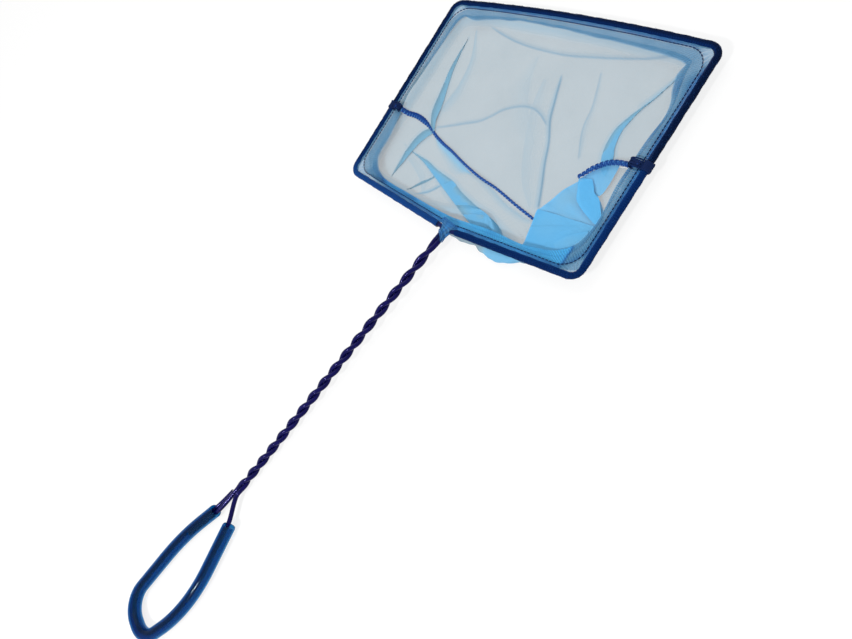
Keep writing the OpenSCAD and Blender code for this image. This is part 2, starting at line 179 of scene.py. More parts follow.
def waves(u, v, seed, count, size):
    # soft unevenness: a sum of sines of different directions, lengths and starts, about -1 to 1
    dice = np.random.default_rng(seed)
    total = 0
    for k in range(count):
        angle = dice.uniform(0, fullTurn)
        length = size * dice.uniform(0.5, 1.6)
        total = total + np.sin((u * math.cos(angle) + v * math.sin(angle)) * fullTurn / length + dice.uniform(0, 6.28))
    return total / math.sqrt(count)


def gridPart(grid, wrapRows=False, wrapColumns=False, caps=False, uv=None, **values):
    # faces between neighbours in a grid of points, and over both end rings where caps are asked; values run 0 to 1
    rows, columns = grid.shape[:2]
    i = np.arange(rows if wrapRows else rows - 1)
    j = np.arange(columns if wrapColumns else columns - 1)
    i, j = (x.ravel() for x in np.meshgrid(i, j, indexing="ij"))
    corners = ((i, j), (i + 1, j), (i + 1, j + 1), (i, j + 1))
    if uv is None:  # lengths down the first column and across the middle row
        down, across = (lengthAlong(np.vstack([line, line[:1]])) for line in (grid[:, 0], grid[rows // 2]))
        places = [join(down[a], across[b]) for a, b in corners]
    else:
        places = [uv[a % rows, b % columns] for a, b in corners]
    index = np.stack([(a % rows) * columns + b % columns for a, b in corners], 1)
    faces = [(index, np.stack(places, 1) * metre)]
    if caps:
        ring = np.arange(columns)
        for end in (ring, (rows - 1) * columns + ring[::-1]):
            faces.append((end[None], np.zeros((1, columns, 2))))
    values = {key: np.broadcast_to(np.clip(value, 0, 1), (rows, columns)).ravel() for key, value in values.items()}
    return {"points": grid.reshape(-1, 3), "faces": faces, "values": values}


def rod(path, ring, up=upward, **values):
    # a ring carried along a path and closed at both ends
    return gridPart(carry(path, ring, up), wrapColumns=True, caps=True, **values)


def repeated(grid, **values):
    # the same small closed grid at many places
    n, rows, columns = grid.shape[:3]
    size = rows * columns
    one = gridPart(grid[0], wrapColumns=True, caps=True)
    starts = np.arange(n)[:, None, None] * size
    faces = [((index + starts).reshape(-1, index.shape[1]), np.tile(uv, (n, 1, 1))) for index, uv in one["faces"]]
    values = {key: np.full(n * size, value) for key, value in values.items()}
    return {"points": grid.reshape(-1, 3), "faces": faces, "values": values}


def addObject(name, data):
    made = bpy.data.objects.new(name, data)
    bpy.context.scene.collection.objects.link(made)
    return made


def makePiece(name, parts, finish, slotName, *stands):
    # one mesh from several grid parts, filled with foreach_set
    starts = np.cumsum([0] + [len(part["points"]) for part in parts])
    points = np.vstack([part["points"] for part in parts]) * metre
    loops, uvs, sizes = [], [], []
    for part, start in zip(parts, starts):
        for index, corners in part["faces"]:
            loops.append((index + start).ravel())
            uvs.append(corners.reshape(-1, 2))
            sizes.append(np.full(len(index), index.shape[1]))
    loops, uvs, sizes = np.concatenate(loops), np.vstack(uvs), np.concatenate(sizes)
    made = bpy.data.meshes.new(name)
    for items, count, key, data in (
        (made.vertices, len(points), "co", points.ravel()),
        (made.loops, len(loops), "vertex_index", loops.astype(np.int32)),
        (made.polygons, len(sizes), "loop_start", (np.cumsum(sizes) - sizes).astype(np.int32)),
    ):
        items.add(count)
        items.foreach_set(key, data)
    made.uv_layers.new(name="cloth").data.foreach_set("uv", uvs.ravel())
    for key in parts[0]["values"]:
        values = np.concatenate([part["values"][key] for part in parts])
        made.attributes.new(key, "FLOAT", "POINT").data.foreach_set("value", values.astype(np.float32))
    made.update(calc_edges=True)
    made.validate()
    made.polygons.foreach_set("use_smooth", np.ones(len(made.polygons), bool))
    made.materials.append(finish.material)
    piece = addObject(name, made)
    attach(piece, "root")
    if stands:
        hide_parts(*stands)
    return piece


class Term:
    # a socket in an expression: each operator adds its Math node
    def __init__(self, nodes, socket):
        self.nodes, self.socket = nodes, socket

    def math(self, operation, *values):
        return self.nodes.node("ShaderNodeMath", {"operation": operation}, dict(enumerate(values)))

    def __add__(self, other): return self.math("ADD", self, other)
    def __radd__(self, other): return self.math("ADD", other, self)
    def __sub__(self, other): return self.math("SUBTRACT", self, other)
    def __rsub__(self, other): return self.math("SUBTRACT", other, self)
    def __mul__(self, other): return self.math("MULTIPLY", self, other)
    def __rmul__(self, other): return self.math("MULTIPLY", other, self)
    def __truediv__(self, other): return self.math("DIVIDE", self, other)
    def __rtruediv__(self, other): return self.math("DIVIDE", other, self)
    def sine(self): return self.math("SINE", self)
    def part(self): return self.math("FRACT", self)
    def size(self): return self.math("ABSOLUTE", self)
    def smaller(self, other): return self.math("MINIMUM", self, other)
    def also(self, name): return Term(self.nodes, self.socket.node.outputs[name])


class Nodes:
    # a node tree that is filled from Python
    def __init__(self, tree):
        self.tree = tree

    def node(self, kind, settings={}, inputs={}, output=0):
        made = self.tree.nodes.new(kind)
        for key, value in settings.items():
            if key == "stops":
                for place, shade in value[2:]:
                    made.color_ramp.elements.new(place)
                for element, (place, shade) in zip(made.color_ramp.elements, value):
                    element.position = place
                    element.color = (*shade, 1)
            else:
                setattr(made, key, value)
        for key, value in inputs.items():
            self.put(made.inputs[key], value)
        return Term(self, made.outputs[output])

    def put(self, socket, value):
        if isinstance(value, Term):
            self.tree.links.new(value.socket, socket)
        elif isinstance(value, tuple) and len(value) == 3 and socket.type == "RGBA":
            socket.default_value = (*value, 1)
        else:
            socket.default_value = value

    def uv(self): return self.node("ShaderNodeUVMap", {"uv_map": "cloth"})
    def place(self): return self.node("ShaderNodeTexCoord", {}, {}, "Object")
    def value(self, name): return self.node("ShaderNodeAttribute", {"attribute_name": name}, {}, "Fac")
    def ramp(self, amount, stops): return self.node("ShaderNodeValToRGB", {"stops": stops}, {0: amount})

    def split(self, vector):
        x = self.node("ShaderNodeSeparateXYZ", {}, {0: vector})
        return x, x.also("Y")

    def stretched(self, at, scale):
        return self.node("ShaderNodeVectorMath", {"operation": "MULTIPLY"}, {0: at, 1: scale})

    def noise(self, at, scale, detail=2, roughness=0.5):
        inputs = {"Vector": at, "Scale": scale, "Detail": detail, "Roughness": roughness}
        return self.node("ShaderNodeTexNoise", {}, inputs)

    def mix(self, amount, first, second):
        return self.node("ShaderNodeMix", {"data_type": "RGBA"}, {0: amount, 6: first, 7: second}, 2)

    def bump(self, height, strength, distance=0.0002):
        return self.node("ShaderNodeBump", {}, {"Height": height, "Strength": strength, "Distance": distance})

    def seenRay(self):
        # 1 for what is seen straight, mirrored or through something clear, and 0 for what only lights
        ray = self.node("ShaderNodeLightPath")
        glossy, through = ray.also("Is Glossy Ray"), ray.also("Is Transmission Ray")
        return (ray + glossy + through).smaller(1.0)


class Finish(Nodes):
    # a material with its nodes made from Python
    def __init__(self, name):
        self.material = bpy.data.materials.new(name)
        self.material.use_nodes = True
        super().__init__(self.material.node_tree)
        self.tree.nodes.clear()
        self.out = self.tree.nodes.new("ShaderNodeOutputMaterial")

    def surface(self, **inputs):
        shader = self.node("ShaderNodeBsdfPrincipled", {}, {k.replace("_", " "): v for k, v in inputs.items()})
        self.put(self.out.inputs[0], shader)
        return self


def darker(colour, share):
    # each part of the colour times the share
    return tuple(c * share for c in colour)


# Coating on the wires: drawn streaks along them, soft wear, and a few paler scuffs
coating = {
    "hoop": (0.002, 0.01, 0.06), "handle": (0.003, 0.003, 0.06), "worn": (0.012, 0.009, 0.17),
    "shine": (0.4, 0.36, 1.0), "hoopRough": 0.3, "handleRough": 0.08, "specular": 0.2, "bump": 0.12,
    "streaks": (60, 2600, 1), "scuffs": 260, "scuffFrom": 0.5, "scuffTo": 0.78, "patches": 28,
}


def coatingFinish(name, colour, roughness):
    # soft darker patches, and the worn colour where the scuffs are strongest
    f = Finish(name)
    streak = f.noise(f.stretched(f.uv(), coating["streaks"]), 1.0, 3)
    scuff = f.noise(f.place(), coating["scuffs"], 4, 0.6)
    worn = f.ramp(scuff, [(coating["scuffFrom"], (0, 0, 0)), (coating["scuffTo"], (1, 1, 1))])
    patch = f.noise(f.place(), coating["patches"])
    shade = f.mix(patch * 0.7, colour, darker(colour, 0.55))
    return f.surface(
        Base_Color=f.mix(worn * 0.35, shade, coating["worn"]),
        Roughness=roughness + 0.12 * scuff + 0.05 * streak,
        Normal=f.bump(streak * 0.6 + scuff * 0.4, coating["bump"]),
        Specular_IOR_Level=coating["specular"], Specular_Tint=coating["shine"],
    )


hoopFinish = coatingFinish("hoopCoating", coating["hoop"], coating["hoopRough"])
handleFinish = coatingFinish("handleCoating", coating["handle"], coating["handleRough"])

# Steel inside the coating, seen where the wire is cut
steelLook = {"dark": (0.42, 0.42, 0.44), "light": (0.6, 0.6, 0.62), "rough": 0.25, "grain": (300, 300, 300)}
steel = Finish("steelCore")
drawn = steel.noise(steel.stretched(steel.place(), steelLook["grain"]), 6.0, 4)
steel.surface(Base_Color=steel.mix(drawn, steelLook["dark"], steelLook["light"]), Metallic=1.0,
              Roughness=steelLook["rough"] + 0.2 * drawn, Normal=steel.bump(drawn, 0.2))

# Grip tube: see-through blue plastic with fine lines and a hazy skin, with painted shade: its colour deepens on the
# side that faces one fixed direction
gripTube = {
    "outerR": 4.6, "wall": 1.2, "roundEnd": 0.35, "sides": 28,
    # deep is the colour of the painted shade; the three numbers after it set the side it falls on and how far it
    # reaches round the tube
    "colour": (0.025, 0.2, 0.47), "deep": (0.0, 0.085, 0.3), "shadedSide": (-0.65, -0.25, 0.5), "shadeBase": 0.45,
    "shadeGain": 1.1, "haze": 0.02, "bend": 1.06, "clear": 0.9, "coat": 0.12, "lines": (25, 1400, 1), "bump": 0.03,
}
tubeFinish = f = Finish("gripTube")
lines, haze = f.noise(f.stretched(f.uv(), gripTube["lines"]), 1.0, 3), f.noise(f.place(), 90, 4, 0.6)
f.surface(
    Base_Color=f.mix(f.value("tone") + haze * 0.1 - 0.05, gripTube["colour"], gripTube["deep"]),
    Roughness=gripTube["haze"] + 0.04 * haze, IOR=gripTube["bend"], Transmission_Weight=gripTube["clear"],
    Coat_Weight=gripTube["coat"], Coat_Roughness=0.04,
    Normal=f.bump(lines * 0.3 + haze * 0.7, gripTube["bump"], 0.0003),
)

# Mesh cloth: threads both ways with open holes; stops run from single cloth (0) to many layers (1)
mesh = {
    # the crease colour is painted shade, laid along the crease lines
    "thread": 0.38, "crease": (0.07, 0.22, 0.36),
    "bag": {
        "pitch": (0.5, 0.5), "cover": 0.57, "foldCover": 0.86, "contrast": 0.3,
        "stops": [(0.0, (0.2, 0.31, 0.38)), (0.4, (0.21, 0.45, 0.63)), (0.7, (0.15, 0.48, 0.8)),
        (1.0, (0.11, 0.47, 0.85))],
    },
    "hem": {
        "pitch": (1.5, 0.6), "cover": 0.5, "foldCover": 0.8, "contrast": 0.6,
        "stops": [(0.0, (0.18, 0.37, 0.56)), (0.25, (0.08, 0.24, 0.42)), (0.5, (0.016, 0.11, 0.33)),
        (0.7, (0.04, 0.25, 0.6)), (1.0, (0.07, 0.42, 0.8))],
    },
    "sleeve": {
        "pitch": (1.5, 0.6), "cover": 0.92, "foldCover": 0.98, "contrast": 0.2,
        "stops": [(0.0, (0.0008, 0.007, 0.036)), (0.3, (0.001, 0.02, 0.11)), (1.0, (0.012, 0.08, 0.3))],
    },
    "fringe": {
        "pitch": (0.5, 0.5), "cover": 0.7, "foldCover": 0.9, "contrast": 0.1,
        "stops": [(0.0, (0.02, 0.09, 0.3)), (1.0, (0.02, 0.17, 0.5))],
    },
}


def meshFinish(kind):
    # cover: its mean value, more at threads and less at holes, growing quickly where the cloth folds and a little along
    # creases; along the creases the colour is darkened as painted shade
    f = Finish(kind + "Mesh")
    cloth, half = mesh[kind], mesh["thread"] / 2
    stops, contrast = cloth["stops"], cloth["contrast"]
    uv = f.uv()
    wobble = f.noise(uv, 240) * 0.4
    turns = (w / (pitch * metre) + wobble for w, pitch in zip(f.split(uv), cloth["pitch"]))
    across, down = ((turn.part() - 0.5).size() for turn in turns)
    near = across.smaller(down)
    edge = {0: near, 1: half * 0.7, 2: half * 1.4}
    mask = 1 - f.node("ShaderNodeMapRange", {"interpolation_type": "SMOOTHSTEP"}, edge)
    cloud = f.noise(uv, 36, 3)
    fold, crease = f.value("fold"), f.value("crease")
    shade = f.mix(cloud * 0.16, f.ramp(fold, stops), darker(stops[0][1], 0.8))
    shade = f.mix(mask * contrast * 0.15, shade, darker(stops[0][1], 0.3))
    grown = (fold * 2.2).smaller(1.0) * (cloth["foldCover"] - cloth["cover"]) + crease * 0.15
    holes = (mask - 0.6) * contrast * (fold * 1.6 + 0.4).smaller(1.0)
    return f.surface(
        Base_Color=f.mix(crease, shade, mesh["crease"]), Roughness=0.5 + 0.2 * cloud,
        Alpha=(holes + cloth["cover"] + grown + (cloud - 0.5) * 0.08).smaller(1.0),
        Normal=f.bump(1 - near * 2, 0.2), Specular_IOR_Level=0.03,
    )


bagFinish, hemFinish, sleeveFinish, fringeFinish = (meshFinish(kind) for kind in ("bag", "hem", "sleeve", "fringe"))

# Sewing thread: plies wind round it; each colour pair is the thread's colour and a paler one painted on the plies'
# crests as a painted highlight
thread = {
    "sewn": ((0.004, 0.025, 0.16), (0.008, 0.08, 0.4)), "knot": ((0.0005, 0.008, 0.045), (0.001, 0.016, 0.09)),
    "cloth": (0.06, 0.2, 0.5), "ply": 0.0009, "slant": 4000, "fuzz": 1500, "rough": 0.62,
}


def twistFinish(name, colour, paler):
    # plies as a sine of the place along the thread and round it, with the paler colour painted on their crests as a
    # painted highlight
    f = Finish(name)
    u, v = f.split(f.uv())
    ply = (u * (fullTurn / thread["ply"]) + v * thread["slant"]).sine() * 0.5 + 0.5
    fuzz = f.noise(f.place(), thread["fuzz"], 3)
    return f.surface(
        Base_Color=f.mix(f.value("tone"), f.mix(ply * 0.6 + fuzz * 0.3, colour, paler), thread["cloth"]),
        Roughness=thread["rough"] + 0.2 * fuzz, Normal=f.bump(ply * 0.7 + fuzz * 0.3, 0.5), Specular_IOR_Level=0.15,
    )


threadFinish = twistFinish("thread", *thread["sewn"])
knotFinish = twistFinish("knotThread", *thread["knot"])
print("finishes made")

# Hoop wire: bars with round corners, a bowed far bar, and the two bends into the handle
cornerR, middle = hoop["cornerR"], hoop["middleY"]
farRise = hoop["farBow"] / (1 - hoop["farCurve"] / 2)
farR = (math.hypot(halfW, farRise) - cornerR) * hoop["farCurve"] / (farRise / halfW)
bars = [(halfW, -halfD), (halfW, halfD), (0, halfD + farRise), (-halfW, halfD), (-halfW, -halfD)]
bends = [cornerR, cornerR, farR, cornerR, cornerR]
bendRight, bendLeft = (neck + side * handleSide * wire["strandR"] for side in (1, -1))
down = handleDir * hoop["neckLength"]
hoopCorners = [bendRight + down, bendRight, *bars, bendLeft, bendLeft + down]
hoopPath = onHoop(bentPath(hoopCorners, [hoop["neckR"], *bends, hoop["neckR"]], wire["step"]), hoop["height"])
hoopRod = rod(hoopPath, ringProfile(wire["radius"], wire["sides"]))
makePiece("hoopWire", [hoopRod], hoopFinish, "hoop_coating", "hoop_wire")
print("hoop wire made")


# Twisted strands: each runs round the other, half a turn apart, and tightens toward the grip
def eased(t):
    # t^2 / 2e, then t - e / 2, then the start mirrored, all over 1 - e
    e = handle["ease"]
    early, late = t * t / (2 * e), 1 - e - (1 - t) ** 2 / (2 * e)
    return np.where(t < e, early, np.where(t > 1 - e, late, t - e / 2)) / (1 - e)


def strandPath(side, count=420):
    # side * radius * (cosine, sine) of the winding angle about an axis that sinks to the grip
    t = np.linspace(0, 1, count)
    a = math.pi * handle["halfTurns"] * eased(t * (1 - handle["tighten"]) + handle["tighten"] * t * t)
    z = hoop["height"] + (handle["gripZ"] - hoop["height"]) * rise(t)
    apart = handle["spread"] * rise(t / handle["spreadEnds"]) * rise((1 - t) / handle["spreadEnds"])
    r = wire["strandR"] + (wire["coatR"] - wire["radius"]) * apart
    return join(side * r * np.cos(a), -hoop["neckLength"] - handle["twist"] * t, z + side * r * np.sin(a))


# Grip loop: corners as shares of its width and length, from the left end of the tube round to the right end
loopShares = np.array([[-0.11, -0.02], [-0.315, -0.354], [-0.33, -1], [0.48, -1], [0.79, -0.556], [0.335, 0.02]])
loopRadii = [180, 16, 16, 100]
wireSides = [-1, -1, 0, 1, 1]  # where the wire lies in the tube on each leg
forkY = -hoop["neckLength"] - handle["twist"]
loopCorners = loopShares * [handle["loopWidth"], handle["loopLength"]] + [0, forkY - handle["fork"]]


def shifted(corners, shares, offset):
    # each leg moved to its left by its own share of the offset, met again at the corners
    ways = unit(np.diff(corners, axis=0))
    left, c = leftOf(ways), (ways[:-1] * ways[1:]).sum(1)[:, None]
    offs = np.array(shares)[:, None] * offset
    p, q = offs[:-1], offs[1:]
    met = corners[1:-1] + (left[:-1] * (p - c * q) + left[1:] * (q - c * p)) / (1 - c * c)
    return np.vstack([corners[0] + left[0] * offs[0], met, corners[-1] + left[-1] * offs[-1]])


gripCorners = shifted(loopCorners, wireSides, wire["strandR"])
gripRadii = [r - wire["strandR"] * (a + b) / 2 for r, a, b in zip(loopRadii, wireSides, wireSides[1:])]


def forkLeg(u, side, end, way):
    # a cubic that leaves along the handle and meets the tube along its end
    start = np.array([side * wire["strandR"], forkY])
    u = u[:, None]
    v = 1 - u
    pull = (start[1] - end[1]) * handle["forkPull"]
    return (start * v * v * (1 + 2 * u) + np.array([0, -1]) * u * v * v * pull
            + end * u * u * (3 - 2 * u) - way * u * u * v * pull)


def level(flat):
    # at the height of the tube's middle
    return raised(flat, handle["gripZ"])


leftWay = unit(loopCorners[1] - loopCorners[0])
rightWay = unit(loopCorners[4] - loopCorners[5])
leftEntry = loopCorners[0] + leftOf(leftWay) * wire["strandR"]
steps = np.linspace(0, 1, 30)[1:]
longLeg = forkLeg(steps, 1, gripCorners[5], rightWay)
shortLeg = forkLeg(steps, -1, leftEntry, leftWay)
tail = leftEntry + leftWay * np.linspace(0, handle["tail"], 24)[1:, None]
longPath = onHandle(np.vstack([strandPath(-1), level(longLeg)]))
shortPath = onHandle(np.vstack([strandPath(1), level(shortLeg), level(tail)]))
gripPath = onHandle(level(bentPath(gripCorners, gripRadii, wire["step"])))

# The wire's last end runs back beside the short strand and lies under it below the fork
lastEnd = {"from": 1 / 7, "to": 6 / 7, "low": -25, "room": 0.04}
u = np.linspace(lastEnd["from"], lastEnd["to"], 26)
beside = forkLeg(u, -1, leftEntry, leftWay)
away = leftOf(unit(beside - forkLeg(u - lastEnd["from"], -1, leftEntry, leftWay)))
low = math.radians(lastEnd["low"]) * (1 - rise(u))
gap = 2 * wire["strandR"] * (1 + lastEnd["room"] * (1 - u))
endPath = raised(beside - away * (gap * np.cos(low))[:, None], handle["gripZ"] + gap * np.sin(low))
endPath = onHandle(throughPoints(np.vstack([endPath, level(gripCorners[:1])]), 0.6))

for name, path, size, first, last, stands in (  # first and last: cut ends are a little smaller
    ("longStrand", longPath, "coatR", 1, 1, "left_strand"),
    ("shortStrand", shortPath, "coatR", 1, wire["cutEnd"], "right_strand"),
    ("gripWire", gripPath, "radius", 1, 1, "grip_wire"),
    ("returnEnd", endPath, "radius", wire["cutEnd"], 1, "return_end"),
):
    rings = endedRings(len(path), wire[size], first, last, wire["sides"])
    makePiece(name, [rod(path, rings)], handleFinish, "handle_coating", stands)
print("handle made")

# Grip tube: outer skin, rounded end, inner skin and the other end, as one closed grid
tubePath = onHandle(level(bentPath(loopCorners, loopRadii)))


def tubeSkin(radius, end):
    # a circle carried along the tube's middle, with its own radius at both ends
    return carry(tubePath, endedRings(len(tubePath), radius, end / radius, end / radius, gripTube["sides"]))


outerR, innerR, lip = gripTube["outerR"], gripTube["outerR"] - gripTube["wall"], gripTube["roundEnd"]
tubeGrid = np.vstack([tubeSkin(outerR, outerR - lip), tubeSkin(innerR, innerR + lip)[::-1]])
outward = unit(tubeGrid - np.vstack([tubePath, tubePath[::-1]])[:, None])
# painted shade: tone rises toward 1 on the side of the tube that faces the fixed shade direction, where the colour
# turns deep
tone = rise(gripTube["shadeBase"] + gripTube["shadeGain"] * outward @ unit(np.array(gripTube["shadedSide"])))
makePiece("gripTubeSoft", [gridPart(tubeGrid, True, True, tone=tone)], tubeFinish, "grip_tube", "grip_tube")
print("grip tube made")


# Lines inside the hoop: a rounded rectangle bowed as the bars are
def neckShare(x):
    # 1 at the neck, falling evenly to 0 at the side bars
    return np.where(x < neck[0], (x + halfW) / (neck[0] + halfW), (halfW - x) / (halfW - neck[0]))


def bowed(p):
    # far side out by bow * (1 - x^2), near side by dip * neckShare, times the share of the half depth
    x, y = p[..., 0], p[..., 1]
    bow = np.where(y > 0, hoop["farBow"] * (1 - (x / halfW) ** 2), hoop["nearDip"] * neckShare(x))
    return join(x, y + y / halfD * bow)


def insetLoop(inset, r, sideCount=100, cornerCount=20):
    # corner arcs and straight runs, counter-clockwise from the middle of the far right corner
    a, b = halfW - inset - r, halfD - inset - r
    arcs = []
    for q, centre in enumerate([(a, b), (-a, b), (-a, -b), (a, -b)]):
        t = np.radians(90 * (q + np.linspace(0, 1, cornerCount)))
        arcs.append(centre + r * join(np.cos(t), np.sin(t)))
    parts = []
    run = np.linspace(0, 1, sideCount + 2)[1:-1, None]
    for arc, nextArc in zip(arcs, arcs[1:] + arcs[:1]):
        parts += [arc, arc[-1] * (1 - run) + nextArc[0] * run]
    return np.roll(bowed(np.vstack(parts)), -(cornerCount // 2), 0) + [0, middle]


# Hem: a sleeve tight round the bars, the sewn strip inside it, and the turned band with its wavy edge
hem = {
    "sleeveR": 2.05, "loose": 0.05, "open": 168, "innerShade": 0.25, "nearFrom": (-118, 12),
    "barInset": 1.7, "barR": 6, "stitchInset": 3.9, "stitchR": 12.5, "edgeHeight": 6.8,
    "tieLeft": -16.06, "tieRight": -2.19, "tieRoom": 0.3,
    "edge": [  # far, left, near and right
        [(86.2, 238.9), (81, 240.6), (62, 243.1), (40, 244.4), (18.6, 245.2), (-4, 246.4), (-29.5, 247.2),
                (-46.4, 246), (-63.7, 243.9), (-75, 241.0), (-87, 242.8)],
        [(-87, 242.8), (-91.2, 238), (-92.6, 229), (-93.8, 216), (-94.5, 202), (-95.6, 185), (-95.2, 170),
        (-91, 154), (-88.7, 141), (-88.5, 129), (-86.2, 121), (-79.9, 114.4)],
        [(-79.9, 114.4), (-70.6, 110.8), (-58, 109.3), (-45.9, 108.7), (-17.5, 106.9), (3, 106.6), (20, 108.4),
        (38, 109.8), (56.2, 109.8), (67.5, 111.6), (77.6, 114.4), (84.8, 118.7)],
        [(84.8, 118.7), (88.6, 123.5), (91, 131), (91.7, 139), (91, 148), (90, 161.5), (90, 176), (91.1, 194.3),
        (92.4, 206.4), (90.8, 215.2), (87.2, 223.4), (84.8, 231.8), (86.2, 238.9)],
    ],
}


def sleeve(name, corners, radii, seed, stands, tintSide, tintNear):
    # a tube round the bar, open along its inner side; one tint on the side bars and one on the near bars
    path = onHoop(bentPath(corners, radii), hoop["height"])
    a = np.radians(np.linspace(-hem["open"], hem["open"], 29))
    along = lengthAlong(path)[:, None]
    loose = 1 + hem["loose"] * waves(along, a * 6, seed, 7, 9) + 0.02 * np.sin(along * 2.9 + 2 * np.sin(a * 3))
    profile = join(np.cos(a), np.sin(a)) * (hem["sleeveR"] * loose)[..., None]
    tint = tintSide + (tintNear - tintSide) * past(-path[:, 1:2], *hem["nearFrom"])
    fold = tint + hem["innerShade"] * rise(-np.cos(a))
    piece = makePiece(name, [gridPart(carry(path, profile), fold=fold)], sleeveFinish, "hem_mesh", stands)


neckLeft, neckRight = (neck + unit(bars[k] - neck) * 2 * hoop["neckR"] for k in (4, 0))
tieLeft, tieRight, room = hem["tieLeft"], hem["tieRight"], hem["tieRoom"]
sleeve("farSleeve", [(halfW, tieRight + room), *bars[1:4], (-halfW, tieLeft + room)], bends[1:4],
       1, "far_hem", 0.0, 0.0)
sleeve("nearRightSleeve", [neckRight, bars[0], (halfW, tieRight - room)], bends[:1],
       2, "near_right_hem", 0.3, 0.22)
sleeve("nearLeftSleeve", [(-halfW, tieLeft - room), bars[4], neckLeft], bends[4:],
       3, "near_left_hem", 0.15, 0.62)

barLine = insetLoop(hem["barInset"], hem["barR"])
stitchLine = insetLoop(hem["stitchInset"], hem["stitchR"])
perSide = len(barLine) // 4
edgeLine = np.vstack([throughPoints(side, count=perSide + 1)[:-1] for side in hem["edge"]])

# Where the band changes its tint, as a start and a width: each side, the far and near bars, and the corners
zones = {
    "left": (62, 24), "right": (70, 20), "far": (-240, 10), "near": (-124, 5), "nearEnds": (-90, 4),
    "nearLeft": (-10, 50), "nearLeftEnd": (60, 22), "cornerX": (85, 9), "cornerY": (57, 9),
}


def strip(first, last, zFirst, zLast, rows, ripple, seed, tints, shares=(0, 1), toBar=0.0, pale=0.0):
    # straight rows between two closed lines, rippled toward the free edge; tints: left, far, right, near
    share = np.linspace(*shares, rows)[None, :, None]
    flat = first[:, None] * (1 - share) + last[:, None] * share
    x, y, share = flat[..., 0], flat[..., 1], share[..., 0]
    z = zFirst + (zLast - zFirst) * share + ripple * waves(x, y, seed, 7, 26) * share
    notFar = past(-y, *zones["far"])
    toLeft, toRight = past(-x, *zones["left"]) * notFar, past(x, *zones["right"]) * notFar
    toNear = past(-y, *zones["near"]) * past(-np.abs(x), *zones["nearEnds"])
    near = tints[3] - 0.2 * past(-x, *zones["nearLeft"]) - 0.5 * past(-x, *zones["nearLeftEnd"])
    value = tints[1] * (1 - toLeft - toRight) + tints[0] * toLeft + tints[2] * toRight
    value = (value + toBar * toRight * (1 - share) ** 2) * (1 - toNear) + near * toNear
    value = value * (1 - pale * past(np.abs(x), *zones["cornerX"]) * past(np.abs(y - middle), *zones["cornerY"]))
    value = value + 0.05 * waves(x, y, seed + 3, 7, 18)
    return gridPart(raised(flat, z), wrapRows=True, fold=value)


edgeZ = hem["edgeHeight"]
bandParts = [
    strip(barLine, stitchLine, 9.6, 9.0, 6, 0.1, 10, (0.1, 0.42, 0.52, 0.62), pale=1.0),
    strip(barLine, stitchLine, 8.3, 8.7, 6, 0.1, 10, (0.1, 0.4, 0.5, 0.6), pale=1.0),
    strip(stitchLine, edgeLine, 9.0, edgeZ, 16, 0.45, 11, (0.0, 0.05, 0.05, 0.95), toBar=0.34),
    strip(stitchLine, edgeLine, 8.6, edgeZ - 0.5, 14, 0.5, 12, (0.05, 0.1, 0.12, 0.85), (0.0, 0.8), toBar=0.22),
    strip(stitchLine, edgeLine, 9.2, edgeZ + 0.25, 8, 0.45, 11, (0.14, 0.22, 0.3, 1.0), (0.6, 0.93)),
]
hemBand = makePiece("hemBand", bandParts, hemFinish, "hem_mesh", "hem_band")

# Gather: the ends of the hem over the bends into the handle, a puckered tube that flares inward
gather = {
    "from": -5.5, "to": 5.6, "widthIn": 7.4, "widthOut": 3.3, "height": 2.5, "open": 176, "skew": 2.6, "lip": 0.5,
    "puckers": ((0.06, 9, 2.4), (0.04, 23, -5)), "shade": 0.46, "stripes": 0.14,
}
b = np.linspace(0, 1, 44)[:, None]
a = np.radians(np.linspace(-gather["open"], gather["open"], 73))[None]
inward = 1 - rise(b * 1.3)
flare = gather["widthOut"] + (gather["widthIn"] - gather["widthOut"]) * inward + gather["lip"] * past(b, 0.8, 0.2)
pucker = 1 + 0.05 * waves(b * 16, a * 5, 7, 6, 7)
pucker = pucker + sum(deep * np.sin(count * a + slant * b) for deep, count, slant in gather["puckers"])
end = (gather["from"] + (gather["to"] - gather["from"]) * b
       + (0.5 * np.sin(3 * a + 0.6) + gather["skew"] * np.cos(a)) * past(b, 0.2, 0.8))
high = gather["height"] * (1 + 0.1 * np.sin(math.pi * b))
shade = gather["shade"] + gather["stripes"] * np.sin(5 * a + 1.2) * np.sin(math.pi * b) + 0.06 * (1 - b)
gathered = onHandle(join(np.cos(a) * flare * pucker, -end, hoop["height"] + np.sin(a) * high * pucker))
neckGather = makePiece("neckGather", [gridPart(gathered, fold=shade)], hemFinish, "hem_mesh")

# Loose loops of mesh that stand out of the sleeve
fringe = {
    "count": (1000, 333), "threadR": 0.05, "reach": (0.1, 0.5), "wide": (0.25, 0.6), "tilt": (-75, 95), "seed": 5,
    "meetY": -20,  # where the two runs meet on the right bar
}
dice = np.random.default_rng(fringe["seed"])


def fringeParts(corners, radii, count):
    # each loop is a half ellipse on the sleeve: out * reach * sine + along * wide * cosine
    path = onHoop(bentPath(corners, radii, 0.5), hoop["height"])
    way = wayAlong(path)
    k = dice.integers(2, len(path) - 2, count)
    tilt = np.radians(dice.uniform(*fringe["tilt"], count))[:, None]
    out = sideOf(way)[k] * np.cos(tilt) + upward * np.sin(tilt)
    reach = dice.uniform(*fringe["reach"], count)[:, None, None]
    wide = dice.uniform(*fringe["wide"], count)[:, None, None]
    t = np.linspace(0, math.pi, 7)[:, None]
    centre = path[k] + out * (hem["sleeveR"] - 0.1)
    line = centre[:, None] + out[:, None] * np.sin(t) * reach + way[k][:, None] * np.cos(t) * wide
    ring = ringProfile(fringe["threadR"], 3)[:, :, None]
    around = out[:, None] * ring[:, 0] + np.cross(way[k], out)[:, None] * ring[:, 1]
    return repeated(line[:, :, None] + around[:, None])


